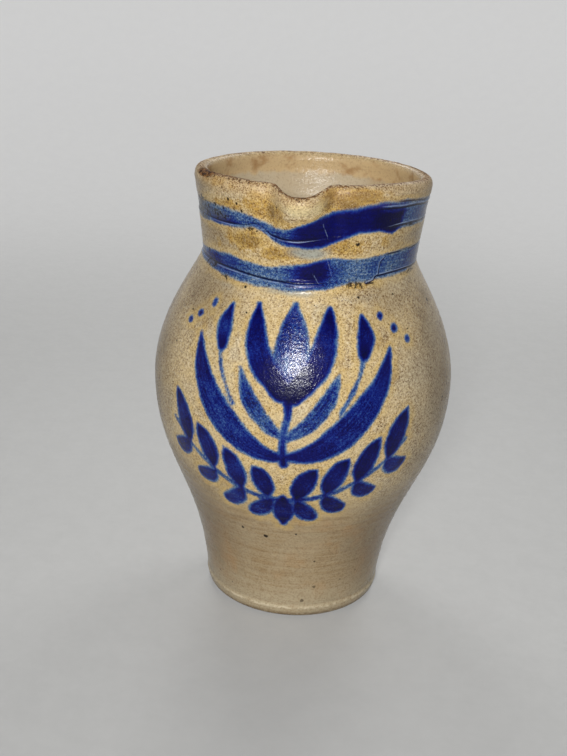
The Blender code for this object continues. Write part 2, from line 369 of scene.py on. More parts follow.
def wobble(height, angle):
    """Slight unevenness of a pot thrown by hand."""
    slow = np.sin(2.0 * angle + 0.8) * 0.16 + np.sin(3.0 * angle - height / (40 * MM)) * 0.1
    return slow * MM * smooth(6 * MM, 40 * MM, height)


def grain(x, y, z, seed):
    """Cheap smooth pseudo noise from crossed waves, about -1 to 1."""
    waves = 4
    total = np.zeros_like(x)
    for k in range(waves):
        a = seed * 1.7 + k * 2.399
        turn = x * math.cos(a) + y * math.sin(a) * 0.8 + z * math.cos(a * 1.9)
        side = x * math.sin(a * 1.3) - y * math.cos(a * 0.7) + z * math.sin(a * 2.3)
        total += np.sin(turn + 1.7 * np.sin(side * 0.73 + a))
    return total / waves


def worked(height, angle):
    """Marks of the wheel on the outside wall: finger waves, cut lines, the sunk band and the foot's edge."""
    cut, ridge = cut_depth(height, angle)
    change = ripple(height, angle) + wobble(height, angle) + (RIDGE_OUT * ridge - CUT_IN * cut) * MM
    top = through(SUNK_TOP_LINE, angle) * MM
    foot = through(SUNK_FOOT_LINE, angle) * MM
    sunk = smooth(top, top - SUNK_EDGE, height) * smooth(foot, foot + SUNK_EDGE, height)
    change -= sunk * SUNK_IN
    change += bell(height - through(LOWER_FOOT, angle) * MM, BAND_RIDGE_HALF_WIDTH) * BAND_RIDGE_OUT
    chipped = grain(angle * 9.0, angle * 4.0, angle * 23.0, 2.0)
    change -= bell(height - FOOT_GROOVE_HEIGHT, FOOT_GROOVE_HALF_WIDTH) * FOOT_GROOVE_IN
    foot_ridge = bell(height - FOOT_RIDGE_HEIGHT, FOOT_RIDGE_HALF_WIDTH)
    change += foot_ridge * (0.3 + 0.14 * chipped) * MM
    return change, cut, ridge


# Patches of ochre flashing, as (degrees, height in mm, half width in degrees, half height in mm, strength)
OCHRE = (
    (13.5, 259, 5, 6, 1.6), (26, 260, 13, 3.8, 1.5), (-38, 252, 14, 3.0, 0.7), (-18, 253, 14, 7, 0.85),
    (-14, 252, 4.5, 6, 1.3), (-26, 235, 15, 7, 1.15), (-10, 230, 14, 5, 1.1), (20, 235.5, 14, 5.5, 1.0),
    (-9, 247, 8, 4.5, 0.8), (21, 256.5, 9, 4.0, 1.35), (29, 213.8, 8, 2.0, 0.9), (46, 238, 18, 5, 0.45),
    (-50, 230, 18, 5, 0.4), (120, 236, 34, 6, 0.6), (-130, 234, 38, 6, 0.6), (-46, 262, 20, 4, 0.5),
    (180, 258, 50, 4, 0.5),
)

# Patches of grey blue that the cobalt left round it in the kiln, in the same form
FUMED = (
    (-3, 209.8, 16, 2.2, 0.7), (5, 232, 11, 4.0, 1.1), (30, 207, 14, 2.5, 0.4), (-40, 208, 16, 2.5, 0.4),
    (12, 201, 9, 6, 0.45), (150, 210, 40, 3, 0.5),
)

# Pale cream patches that paint the highlight on the spout's nose, and pale patches beside it, in the same
# form
PAINTED_HIGHLIGHT_PATCHES = ((-1, 258, 7, 4.5, 1.0), (-9, 236, 7, 3, 0.5), (8, 258, 4, 5, 0.7))

# Broad browner parts of the clay, partly left browner by the fire and partly painted shade that darkens the
# sides of the belly, the lower wall and the collar, in the same form
TOASTED_AND_SIDE_SHADE = (
    (-48, 202, 24, 18, 1.0), (-74, 150, 24, 60, 0.9), (70, 155, 26, 70, 0.85), (46, 205, 20, 16, 0.7),
    (-54, 66, 28, 48, 1.0), (56, 62, 26, 46, 0.9), (-48, 232, 26, 10, 0.75), (-66, 254, 16, 12, 0.6),
    (62, 238, 20, 9, 0.5), (180, 120, 50, 70, 0.5),
)

# Patches of dark grains burnt into the glaze, in the same form
GRIME = (
    (-66, 246.5, 15, 5.0, 1.3), (-46, 245.5, 9, 3.0, 0.9), (-62, 241, 7, 2.0, 0.9), (-56, 215.5, 9, 2.2, 0.9),
    (-38, 211.5, 7, 1.8, 0.6), (30, 214.3, 5, 1.5, 1.5), (36, 215.2, 4, 1.2, 1.0), (60, 245, 12, 1.2, 0.6),
    (68, 216, 10, 1.4, 0.6), (28, 237.2, 1.2, 1.0, 1.0), (-24, 241.5, 6, 1.6, 0.6), (150, 248, 20, 3.0, 0.6),
    (-140, 216, 24, 2.4, 0.6),
)


def patches(spots, height, angle):
    total = np.zeros_like(height)
    degrees = np.degrees(spread(angle))
    for where, level, wide, tall, strength in spots:
        aside = (degrees - where + 180.0) % 360.0 - 180.0
        total = np.maximum(total, bell(aside, wide) * bell(height / MM - level, tall) * strength)
    return total


# Single dark spots that burnt out of the clay, as (degrees, height in mm, radius in mm)
SPOTS = (
    (-8.9, 61.4, 1.6), (-21.0, 64.5, 1.1), (-35.6, 15.8, 0.9), (12.6, 12.9, 1.5), (19.5, 23.3, 1.2),
    (6.3, 65.6, 0.8), (36.4, 26.1, 0.8), (-40.7, 261.6, 0.9), (-37.1, 255.8, 1.1), (-29.2, 250.7, 1.0),
    (-68.9, 249.5, 1.9), (28.3, 237.5, 1.0), (29.5, 208.2, 1.0), (-51.7, 190.5, 0.8), (-21.3, 197.4, 0.8),
    (52.2, 189.2, 0.5), (-62.8, 251.3, 1.8), (-47.7, 250.7, 1.4), (-31.8, 254.4, 0.9), (-64.1, 244.3, 1.6),
    (-41.1, 250.0, 1.1), (-46.8, 245.3, 1.2), (-33.8, 250.7, 0.8), (-33.9, 263.8, 0.8), (77.5, 197.8, 1.4),
    (42.2, 193.6, 0.55), (49.6, 207.4, 0.7), (-58.9, 222.0, 1.5), (-120, 96, 1.4), (138, 70, 1.2),
    (-165, 188, 1.0), (104, 172, 1.1),
)


def spot_place(degrees, level):
    """Point on the worked wall at an angle from the spout and a height in mm."""
    angle = np.radians((degrees,))
    height = np.array((level * MM,))
    change, _, _ = worked(height, angle)
    return around(wall_radius(height) + change, angle, height)[0].tolist()


# Cobalt brush strokes on the belly, as points (degrees from the spout, height in mm), half widths in mm and
# the load of paint
STROKES = []


def stroke(points, widths, load, mirror=True):
    """One brush stroke, and its twin on the other side, which the hand sets a little differently."""
    STROKES.append((points, widths, load))
    if mirror:
        hand = []
        for k, (angle, height) in enumerate(points):
            turn = len(STROKES) * 1.7 + k * 0.9
            hand.append((-angle + 0.7 * math.sin(turn), height + 0.9 * math.cos(turn * 1.3)))
        STROKES.append((hand, [width * 0.97 for width in widths], load * 0.96))


def vine_height(angle):
    return 93.0 + 0.0165 * angle * angle


def garland():
    """Leafy vine hung in a curve under the flower, with a bud at its lowest point."""
    stroke([(angle, vine_height(angle)) for angle in (0, 12, 24, 36, 47)], [2.2, 2.1, 2.0, 1.8, 1.3], 0.8)
    above = ((0.0, 0.5), (1.8, 8.5), (4.2, 15.5), (7.0, 20.5))
    below = ((0.0, -0.5), (2.6, -8.0), (6.0, -13.5), (9.6, -16.0))
    for k in range(4):
        start = 5.2 + 11.4 * k
        for leaf, width, load in ((above, 6.7, 1.0), (below, 6.1, 0.94)):
            points = [(start + ahead, vine_height(start + ahead) + off) for ahead, off in leaf]
            stroke(points, [1.6, width, width * 0.88, 0.9], load)
    stroke([(0, 95), (0.3, 85), (0, 74)], [2.6, 7.0, 2.2], 1.0, mirror=False)


def flower():
    """Tulip with leaves, buds and dots, brushed above the garland."""
    stroke([(0.2, 204), (0.6, 190), (0, 173), (0, 160)], [2.2, 8.2, 10.0, 5.5], 0.72, mirror=False)
    stroke([(15.5, 203), (14.4, 192), (11.0, 176), (2.5, 160)], [2.0, 5.8, 7.6, 6.4], 0.98)
    stroke([(0, 162), (0.7, 148), (-0.6, 134), (0, 119)], [4.0, 2.5, 2.4, 3.2], 0.9, mirror=False)
    stroke([(0, 123), (10, 126.5), (22, 140), (34, 163), (40.5, 182)], [2.6, 6.6, 9.4, 6.4, 1.4], 0.88)
    stroke([(0, 134), (7.5, 143), (14.5, 157), (18.5, 171)], [2.2, 4.6, 4.8, 1.2], 0.66)
    stroke([(19, 150), (26, 169), (28.5, 182)], [1.5, 1.5, 1.7], 0.72)
    stroke([(28.5, 180), (30.4, 189), (29.8, 199)], [3.8, 5.6, 1.8], 0.98)
    for angle, height, size in ((44.5, 191, 2.7), (50.5, 184.5, 2.3), (38.6, 198, 2.2)):
        stroke([(angle, height), (angle + 0.3, height + 0.6)], [size, size * 0.96], 0.95)


def smooth_path(points, widths):
    """Catmull-Rom curve through the points, with the widths carried along."""
    count = 26 if len(points) > 2 else 4
    data = np.array([(*point, width) for point, width in zip(points, widths)])
    padded = np.vstack((2 * data[0] - data[1], data, 2 * data[-1] - data[-2]))
    rows = []
    spans = len(data) - 1
    for t in np.linspace(0.0, spans, count):
        k = min(int(t), spans - 1)
        u = t - k
        a, b, c, d = padded[k:k + 4]
        square = 2 * a - 5 * b + 4 * c - d
        cube = 3 * b - a - 3 * c + d
        rows.append(0.5 * (2 * b + (c - a) * u + square * u * u + cube * u ** 3))
    return np.array(rows)


def on_wall(degrees, level):
    """Points on the plain wall at angles from the spout and heights in mm."""
    height = np.asarray(level) * MM
    return around(wall_radius(height), np.radians(degrees), height)


def from_segment(place, start, end):
    """Share of the way along a segment, distance from it in mm, and side of it, for each place."""
    step = end - start
    share = np.clip(((place - start) @ step) / max(float(step @ step), 1e-12), 0.0, 1.0)
    off = place - start - share[:, None] * step
    side = np.sign(off @ np.cross(step, start * (1.0, 1.0, 0.0)))
    return share, np.linalg.norm(off, axis=1) / MM, side


def bare(count):
    """Rows for the distance to paint in mm, the load of paint, and the place along and across the brush."""
    rows = np.zeros((4, count))
    rows[0] = FAR
    return rows


def brushed(place):
    """Those rows for the belly's brush strokes, with the distance negative inside a stroke."""
    count = len(place)
    distance, load, along, across = bare(count)
    for number, (marks, widths, paint) in enumerate(STROKES):
        path = smooth_path(marks, widths)
        line = on_wall(path[:, 0], path[:, 1])
        spans = len(line) - 1
        best = np.full(count, FAR)
        share = np.zeros(count)
        off_line = np.zeros(count)
        for k in range(spans):
            t, gap, side = from_segment(place, line[k], line[k + 1])
            reach = gap - path[k, 2] - (path[k + 1, 2] - path[k, 2]) * t
            closer = reach < best
            best[closer] = reach[closer]
            share[closer] = (k + t[closer]) / spans
            off_line[closer] = (gap * side)[closer]
        pool = 1.0 - 0.2 * np.sin(share * math.pi) ** 2
        coat = smooth(1.6, -1.4, best) * paint * pool
        on_top = coat > load
        along[on_top] = share[on_top] * 40.0 + number * 17.0
        across[on_top] = off_line[on_top]
        load = np.maximum(load, coat)
        distance = np.minimum(distance, best)
    return distance, load, along, across


# Fine lines over the collar's glaze, as (degrees, height in mm) points
SCRATCHES = (
    ((10.6, 247.5), (12.0, 244.2), (12.9, 241.8)),
    ((13.4, 229.6), (14.6, 226), (16.1, 220.6)),
    ((8.0, 219.2), (8.8, 217.8), (10.0, 215.6)),
)
CRACKS = (((44.7, 228.6), (42.1, 226.2), (41.9, 222.4), (41.9, 219.1), (38.5, 216.1), (34.9, 215.0)),)


def hairlines(lines, place):
    """Signed distance in mm to the nearest of some fine lines, and from 0 to 1 how near it is."""
    nearest = np.full(len(place), FAR)
    signed = np.full(len(place), FAR)
    for marks in lines:
        line = on_wall([mark[0] for mark in marks], [mark[1] for mark in marks])
        for start, end in zip(line[:-1], line[1:]):
            _, gap, side = from_segment(place, start, end)
            closer = gap < nearest
            nearest[closer] = gap[closer]
            signed[closer] = (gap * side)[closer]
    return signed, smooth(2.2, 1.0, nearest)


def painted(points, angle, height):
    """Cobalt on the whole outside: belly strokes and the two bands of the collar."""
    degrees = np.degrees(spread(angle))
    z = height / MM
    rows = bare(len(points))
    belly = (height > 55 * MM) & (height < 212 * MM) & (np.abs(degrees) < 80.0)
    rows[:, belly] = brushed(points[belly])
    distance, load, along, across = rows
    hand = degrees + 1.0 * grain(z * 0.55, degrees * 0.12, z * 0.21, 5.0)

    def between(first, soft_first, last, soft_last, slant=0.0):
        """From 0 to 1, the stretch of a band between two angles, with soft ends that may slant."""
        place = hand - (z - 248.0) * slant
        start = smooth(first - soft_first, first + soft_first, place)
        return start * smooth(last + soft_last, last - soft_last, place)

    def upper(middle):
        """Load of the upper band: a thin wash, and heavy paint mainly right of the spout."""
        wash = 0.44 + 0.05 * np.sin(angle * 7.0) + 0.05 * np.sin(middle * 9.0 + angle * 3.0)
        wash -= 0.1 * smooth(0.35, 0.8, middle) * between(-80.0, 6.0, -26.0, 12.0)
        wash += 0.26 * smooth(0.55, 0.25, middle) * between(-54.0, 6.0, -30.0, 5.0)
        dark = between(-5.0, 9.0, 52.4, 1.8, 0.14)
        dark *= 1.0 - 0.75 * smooth(36.0, 42.0, degrees) * smooth(0.6, 0.78, middle)
        dark = np.maximum(dark, 0.3 * between(-19.0, 3.0, 3.0, 8.0))
        dark = np.maximum(dark, 0.8 * between(118.0, 9.0, 150.0, 3.0))
        level = 0.88 + 0.12 * smooth(30.0, 42.0, degrees)
        return wash + (level - wash) * dark

    def lower(middle):
        """Load of the lower band: a thin wash, and heavy paint mainly at the spout."""
        wash = 0.45 + 0.06 * np.sin(angle * 6.0 + 1.0) + 0.05 * np.sin(middle * 8.0 - angle * 4.0)
        wash -= 0.13 * smooth(0.75, 0.35, middle) * between(-34.0, 10.0, 26.0, 10.0)
        dark = (0.45 + 0.55 * smooth(0.15, 0.5, middle)) * between(-2.0, 6.5, 14.5, 3.6)
        dark = np.maximum(dark, (0.24 + 0.24 * middle) * between(-66.0, 8.0, -30.0, 12.0))
        dark = np.maximum(dark, 0.6 * between(-150.0, 12.0, -110.0, 4.0))
        return wash + (0.9 - wash) * dark

    for top_keys, foot_keys, paint in ((UPPER_TOP, UPPER_FOOT, upper), (LOWER_TOP, LOWER_FOOT, lower)):
        top = through(top_keys, angle)
        foot = through(foot_keys, angle)
        gap = np.maximum(z - top, foot - z)
        coat = smooth(1.2, -1.2, gap) * paint((z - foot) / (top - foot))
        inside = gap < 1.0
        along[inside] = degrees[inside] * 1.1
        across[inside] = z[inside]
        distance = np.minimum(distance, gap)
        load = np.maximum(load, coat)
    return distance, load, along, across


def mesh_object(name, points, faces):
    mesh = bpy.data.meshes.new(name)
    mesh.from_pydata([tuple(p) for p in points], [], faces)
    mesh.update()
    thing = bpy.data.objects.new(name, mesh)
    bpy.context.scene.collection.objects.link(thing)
    mesh.polygons.foreach_set("use_smooth", np.ones(len(mesh.polygons), dtype=bool))
    return thing


def ring_faces(rings, sides, closed=False):
    """Faces between rings of points, and where closed from the last ring to the first."""
    faces = []
    for k in range(rings if closed else rings - 1):
        a = k * sides
        b = (k + 1) % rings * sides
        for side in range(sides):
            following = (side + 1) % sides
            faces.append((a + side, a + following, b + following, b + side))
    return faces


def fan_faces(start, sides, middle):
    """Faces from the ring that begins at one point to the point in its middle."""
    return [(start + side, start + (side + 1) % sides, middle) for side in range(sides)]


def end_faces(rings, sides):
    """Fans from the first and the last ring to their middles, which are the two points after the rings."""
    middle = rings * sides
    first = [face[::-1] for face in fan_faces(0, sides, middle)]
    return first + fan_faces(middle - sides, sides, middle + 1)


def put_attribute(thing, name, values):
    layer = thing.data.attributes.new(name, "FLOAT", "POINT")
    layer.data.foreach_set("value", np.asarray(values, dtype=np.float32))


def make_body():
    """Rings from the base's edge over the lip to the floor, with the layers that the glaze reads."""
    outer = walked(OUTER, outer_spacing)
    lip = lip_rings()
    inner = inner_rings()
    profile = np.vstack((outer, lip, inner))
    over_lip = np.linspace(0.0, 1.0, len(lip) + 1)[1:]
    side = np.concatenate((np.zeros(len(outer)), over_lip, np.ones(len(inner))))
    angles = columns()
    rings = len(profile)
    count = len(angles)
    flat_radius = np.repeat(profile[:, 0], count)
    flat_height = np.repeat(profile[:, 1], count)
    inside = np.repeat(side, count)
    angle = np.tile(angles, rings)
    degrees = np.degrees(spread(angle))
    outside = inside < 0.02
    on_lip = (inside > 0.0) & (inside < 1.0)

    change, cut, ridge = worked(flat_height, angle)
    change = np.where(outside, change, wobble(flat_height, angle))
    change += np.where(inside > 0.98, ripple(flat_height * 0.8, angle + 1.0) * 1.5, 0.0)
    radius, height = pulled(flat_radius + change, flat_height, angle)

    # Worn lip: small dents along the crest, and a broken stretch on the left
    arc = angle * LIP_RADIUS / MM
    crest = inside - 0.46
    rough = grain(arc * 0.55, radius / MM * 0.6, arc * 0.13, 3.0)
    fine = grain(arc * 1.5, radius / MM * 1.7, arc * 0.31, 7.0)
    height = height - bell(crest, 0.22) * on_lip * (0.12 + 0.14 * rough + 0.1 * fine) * MM
    broken = bell(degrees + 60.0, 10.0) * smooth(RIM_HEIGHT - 5 * MM, RIM_HEIGHT - 0.5 * MM, flat_height)
    broken *= smooth(0.92, 0.62, inside)
    height = height - broken * (1.1 + 0.55 * rough + 0.4 * fine) * MM
    radius = radius - broken * smooth(0.6, 0.1, inside) * (0.5 + 0.4 * fine) * MM

    # The last two points are the middles of the base and of the floor
    points = np.vstack((around(radius, angle, height), (0.0, 0.0, 0.0), (0.0, 0.0, FLOOR_THICKNESS)))
    thing = mesh_object("pitcher_body", points, ring_faces(rings, count) + end_faces(rings, count))

    # Layers for the glaze: distances in mm, and shares from 0 that mostly end at about 1
    flat_points = around(flat_radius, angle, flat_height)
    distance, load, along, across = painted(flat_points, angle, flat_height)
    scratch, scratched = hairlines(SCRATCHES, flat_points)
    crack, cracked = hairlines(CRACKS, flat_points)
    often = np.maximum(bell(degrees + 42.0, 26.0), bell(degrees, 20.0))
    often = np.maximum(often, 0.7 * bell(degrees - 100.0, 34.0))
    near_rim = smooth(RIM_HEIGHT - 11 * MM, RIM_HEIGHT - 3 * MM, flat_height) * smooth(0.8, 0.55, inside)
    layers = {
        "cobalt": np.where(outside, distance, FAR),
        "load": load,
        "along": along,
        "across": across,
        "cut": cut * outside,
        "ridge": ridge * outside,
        "wear": broken,
        "crest": bell(crest, 0.2) * on_lip * (0.46 + 0.46 * often + 0.2 * rough),
        "rim": near_rim * (0.62 + 0.38 * bell(degrees + 34.0, 28.0)),
        "scratch": scratch,
        "scratched": scratched * outside,
        "crack": crack,
        "cracked": cracked * outside,
        "inside": inside,
    }
    # Patch layers: ochre flashing, pale painted highlight, burnt grains, browner clay with painted shade on
    # the sides, and grey blue fuming
    patch_layers = (
        ("ochre", OCHRE, inside < 0.3), ("cream", PAINTED_HIGHLIGHT_PATCHES, inside < 0.4),
        ("grime", GRIME, outside), ("toast", TOASTED_AND_SIDE_SHADE, outside), ("fume", FUMED, outside),
    )
    for name, spots, where in patch_layers:
        layers[name] = patches(spots, flat_height, angle) * where
    middles = {"cobalt": (FAR, FAR), "scratch": (FAR, FAR), "crack": (FAR, FAR), "inside": (0.0, 1.0)}
    for name, values in layers.items():
        put_attribute(thing, name, np.concatenate((values, middles.get(name, (0.0, 0.0)))))
    return thing


def handle_path():
    """Middle line of the handle, from inside the collar to inside the belly."""
    top = wall_radius(HANDLE_TOP_HEIGHT)
    root = wall_radius(HANDLE_ROOT_HEIGHT)
    start = np.array((0.0, top - ROOT_DEPTH, HANDLE_TOP_HEIGHT - TOP_RISE))
    end = np.array((0.0, root - ROOT_DEPTH, HANDLE_ROOT_HEIGHT - ROOT_FALL))
    over = np.array((0.0, HANDLE_REACH, HANDLE_TOP_HEIGHT + HANDLE_ARCH))
    down = np.array((0.0, HANDLE_REACH + HANDLE_LOW_BULGE, HANDLE_ROOT_HEIGHT + HANDLE_DROP))
    return np.vstack((start[None, :], cubic(start, over, down, end, HANDLE_STATIONS)))


PATH = handle_path()

# Stations of the path from its middle to each of its ends
TO_COLLAR = list(range(HANDLE_STATIONS // 2, -1, -1))
TO_BELLY = list(range(HANDLE_STATIONS // 2, HANDLE_STATIONS + 1))


def strap_rings(grow, ridges):
    """Flattened oval rings along the path, with the soft lengthwise ridges of a pulled strap."""
    along = unit(np.gradient(PATH, axis=0))
    out = np.stack((np.zeros(len(PATH)), along[:, 2], -along[:, 1]), axis=1)
    share = np.linspace(0.0, 1.0, len(PATH))[:, None]
    angle = math.tau * np.arange(HANDLE_SIDES)[None, :] / HANDLE_SIDES
    across = squared_off(np.cos(angle), STRAP_CORNER)
    depth = squared_off(np.sin(angle), STRAP_CORNER)
    wide = (HANDLE_WIDTH + TOP_WIDENING * (1 - share) - ROOT_NARROWING * share) / 2 + grow
    thick = (HANDLE_THICKNESS + END_THICKENING * (1 - share) - END_THICKENING * share) / 2 + grow
    lift = thick * depth * (1.0 + ridges * np.cos(across * 7.5) * np.abs(depth))
    points = PATH[:, None, :] + out[:, None, :] * lift[:, :, None]
    points[:, :, 0] += wide * across
    return points


def wall_hits(rings, stations, sink):
    """Where each line along the strap meets the wall, a little sunk into it, and the last ring before it."""
    lines = rings[stations]
    room = np.hypot(lines[:, :, 0], lines[:, :, 1]) - wall_radius(lines[:, :, 2]) + sink
    side = np.arange(HANDLE_SIDES)
    before = np.argmax(room[1:] <= 0.0, axis=0)
    near = room[before, side]
    share = near / (near - room[before + 1, side])
    start = lines[before, side]
    hits = start + (lines[before + 1, side] - start) * share[:, None]
    return hits, np.array(stations)[before]


def make_handle():
    rings = strap_rings(0.0, 0.055)
    sunk = 0.2 * MM
    top, top_last = wall_hits(rings, TO_COLLAR, sunk)
    foot, foot_last = wall_hits(rings, TO_BELLY, sunk)
    loops = [top] + list(rings[top_last.max():foot_last.min() + 1]) + [foot]
    faces = ring_faces(len(loops), HANDLE_SIDES) + end_faces(len(loops), HANDLE_SIDES)
    points = np.vstack(loops + [top.mean(axis=0), foot.mean(axis=0)])
    return mesh_object("pulled_handle", points, [tuple(reversed(face)) for face in faces])


def make_root_clay(name, stations):
    """Clay worked from the wall up on to one root of the handle, its edges fading into both."""
    hole = strap_rings(-0.1 * MM, 0.0)
    skin = strap_rings(ROOT_CLAY_EDGE, 0.03)
    wide = strap_rings(ROOT_CLAY_SPREAD, 0.0)
    hole_hit, hole_last = wall_hits(hole, stations, 0.3 * MM)
    corner, _ = wall_hits(skin, stations, 0.0)
    foot, _ = wall_hits(wide, stations, 0.05 * MM)
    root = min(stations.index(k) for k in hole_last)
    reach = root
    travelled = 0.0
    while travelled < ROOT_CLAY_RISE:
        travelled += np.linalg.norm(PATH[stations[reach]] - PATH[stations[reach - 1]])
        reach -= 1
    top = stations[reach]
    away = unit(skin[top] - corner)
    turn = np.arange(HANDLE_SIDES) / HANDLE_SIDES * math.tau
    wander = ROOT_CLAY_WANDER * np.sin(turn * 5.0 + 0.7)[:, None]
    loops = [hole_hit, foot]
    for t in np.linspace(0.0, 1.0, 15):
        low = foot + (corner - foot) * t
        high = corner + (skin[top] - corner) * t
        loops.append(low + (high - low) * t + away * (ROOT_CLAY_EDGE + wander * t * (1 - t)))
    for k in stations[reach:root + 1]:
        loops.append(hole[k])
    return mesh_object(name, np.vstack(loops), ring_faces(len(loops), HANDLE_SIDES, closed=True))


class Nodes:
    """Short way to add and join shader nodes."""

    def __init__(self, name):
        self.material = bpy.data.materials.new(name)
        self.material.use_nodes = True
        self.tree = self.material.node_tree
        self.shader = self.tree.nodes["Principled BSDF"]
        self.coord = self.add("TexCoord", {}).outputs["Object"]

    def join(self, source, socket):
        if hasattr(source, "is_output"):
            self.tree.links.new(source, socket)
        else:
            socket.default_value = source

    def add(self, kind, sockets, **settings):
        """New node with its settings, and with values or links for its sockets."""
        node = self.tree.nodes.new("ShaderNode" + kind)
        for name, value in settings.items():
            setattr(node, name, value)
        for key, value in sockets.items():
            self.join(value, node.inputs[key])
        return node

    def math(self, kind, a, b=0.0, c=0.0):
        return self.add("Math", {0: a, 1: b, 2: c}, operation=kind).outputs[0]

    def fold(self, kind, values):
        result = values[0]
        for value in values[1:]:
            result = self.math(kind, result, value)
        return result

    def times(self, *values):
        return self.fold("MULTIPLY", values)

    def plus(self, *values):
        return self.fold("ADD", values)

    def most(self, *values):
        return self.fold("MAXIMUM", values)

    def less(self, a, b):
        return self.math("SUBTRACT", a, b)

    def swing(self, noise, reach):
        """Noise turned into a change either way, about a half of the reach at most."""
        return self.times(self.less(noise, 0.5), reach)

    def step(self, value, low, high, to_low=0.0, to_high=1.0):
        sockets = {"Value": value, "From Min": low, "From Max": high, "To Min": to_low, "To Max": to_high}
        return self.add("MapRange", sockets, interpolation_type="SMOOTHSTEP").outputs["Result"]

    def noise(self, scale, detail=2.0, rough=0.5, where=None):
        sockets = {"Scale": scale, "Detail": detail, "Roughness": rough, "Vector": where or self.coord}
        return self.add("TexNoise", sockets).outputs["Fac"]

    def cells(self, scale):
        """Distance to the nearest scattered point, and two random numbers of that point."""
        found = self.add("TexVoronoi", {"Scale": scale, "Vector": self.coord}).outputs
        split = self.add("SeparateColor", {"Color": found["Color"]}).outputs
        return found["Distance"], split["Red"], split["Green"]

    def scaled(self, x, y, z):
        return self.add("Mapping", {"Scale": (x, y, z), "Vector": self.coord}).outputs["Vector"]

    def vector(self, x, y):
        return self.add("CombineXYZ", {"X": x, "Y": y}).outputs["Vector"]

    def axis(self, name):
        return self.add("SeparateXYZ", {"Vector": self.coord}).outputs[name]

    def mix(self, share, a, b):
        return self.add("Mix", {0: share, 6: a, 7: b}, data_type="RGBA").outputs[2]

    def over(self, base, *coats):
        """Colours laid over a base in turn, each as far as the product of the shares after it says."""
        for colour, *shares in coats:
            base = self.mix(self.times(*shares), base, colour)
        return base

    def ramp(self, value, stops):
        node = self.add("ValToRGB", {"Fac": value})
        elements = node.color_ramp.elements
        while len(elements) < len(stops):
            elements.new(0.5)
        for element, (place, colour) in zip(elements, stops):
            element.position = place
            element.color = colour
        return node.outputs["Color"]

    def shaken(self, scale, reach):
        """Object coordinates moved about by noise."""
        noise = self.add("TexNoise", {"Scale": scale, "Vector": self.coord}).outputs["Color"]
        sockets = {0: noise, 1: (reach, reach, reach), 2: (-reach / 2, -reach / 2, -reach / 2)}
        move = self.add("VectorMath", sockets, operation="MULTIPLY_ADD").outputs["Vector"]
        return self.add("VectorMath", {0: self.coord, 1: move}).outputs["Vector"]

    def away(self, where, place):
        """Distance of a point from a place."""
        return self.add("VectorMath", {0: where, 1: place}, operation="DISTANCE").outputs["Value"]

    def bump(self, value, strength, distance):
        node = self.add("Bump", {"Strength": strength, "Distance": distance, "Height": value})
        self.set("Normal", node.outputs["Normal"])

    def set(self, name, value):
        self.join(value, self.shader.inputs[name])


def srgb(*parts):
    """Colour given as it looks on a screen, 0 to 255, in the linear values that the shader takes."""
    shown = np.array(parts) / 255.0
    linear = np.where(shown <= 0.04045, shown / 12.92, ((shown + 0.055) / 1.055) ** 2.4)
    return (*linear.tolist(), 1.0)


# Clay
GREY_TAN = srgb(194, 178, 146)
WARM_TAN = srgb(198, 174, 129)
BROWN_TAN = srgb(164, 143, 106)
PALE_PEEL = srgb(230, 216, 186)
STIPPLE = srgb(88, 54, 21)
IRON = srgb(30, 18, 9)
LOW_BROWN = srgb(163, 144, 112)
LOW_STREAK = srgb(148, 124, 90)
LOW_RUST = srgb(174, 136, 92)
LOW_PALE = srgb(176, 160, 130)
PALE_FOOT = srgb(178, 164, 136)
# Rubbing with a painted highlight on the foot's ridge, and dirt with painted shade at the base
FOOT_RIDGE_RUB_AND_HIGHLIGHT = srgb(216, 203, 174)
FOOT_DIRT_AND_SHADE = srgb(116, 97, 70)
INNER_PALE = srgb(188, 172, 145)
INNER_BROWN = srgb(180, 158, 124)
STAIN_PALE = srgb(194, 166, 122)
STAIN_DARK = srgb(162, 124, 78)

# Marks of the fire, with painted shade in the browner patch colour and a painted highlight in the pale cream
TOAST_AND_SHADE = srgb(124, 110, 87)
FLASH = srgb(203, 169, 90)
ORANGE = srgb(164, 122, 43)
DARK_GOLD = srgb(118, 87, 25)
GOLD_PITS = srgb(98, 64, 24)
FUME_GREY = srgb(142, 150, 146)
# Pale cream for the painted highlight on the spout's nose
HIGHLIGHT_CREAM = srgb(226, 209, 160)
BURNT = srgb(26, 20, 17)

# Cobalt, by the depth of paint, and what is seen on it
COBALT = (
    (0.00, srgb(130, 144, 154)),
    (0.22, srgb(80, 108, 144)),
    (0.42, srgb(46, 78, 132)),
    (0.62, srgb(13, 34, 116)),
    (0.82, srgb(1, 3, 80)),
    (1.00, srgb(0, 0, 48)),
)
BLUE_PITS = srgb(34, 42, 66)
BLUE_SPECK = srgb(12, 10, 18)
# Painted highlight on the ridges beside the cut lines, and dark glaze with painted shade in the lines
RIDGE_HIGHLIGHT_BLUE = srgb(154, 172, 206)
CUT_BLUE_AND_SHADE = srgb(3, 5, 40)
GRIMY_BLUE = srgb(84, 88, 98)
SCRATCHED_BLUE = srgb(120, 138, 176)
# Painted highlight on the crack's raised lip, and its dark line with painted shadow beside it
CRACK_HIGHLIGHT_BLUE = srgb(128, 152, 192)
CRACK_DARK_AND_SHADOW_BLUE = srgb(8, 14, 52)

# Wear, with the painted highlight on ridges beside the cut lines and dark glaze with painted shade in the
# lines
RIDGE_HIGHLIGHT_CLAY = srgb(222, 208, 180)
CUT_CLAY_AND_SHADE = srgb(84, 62, 40)
RIM_TAN = srgb(194, 158, 106)
RIM_DOTS = srgb(108, 66, 26)
WORN_DARK = srgb(48, 27, 10)
WORN_PALE = srgb(132, 84, 36)
BROKEN_DARK = srgb(54, 31, 12)
BROKEN_PALE = srgb(152, 106, 58)

# Studio
FLOOR_DARK = srgb(157, 157, 155)
FLOOR_PALE = srgb(160, 160, 158)
WHITE = (1.0, 1.0, 1.0, 1.0)


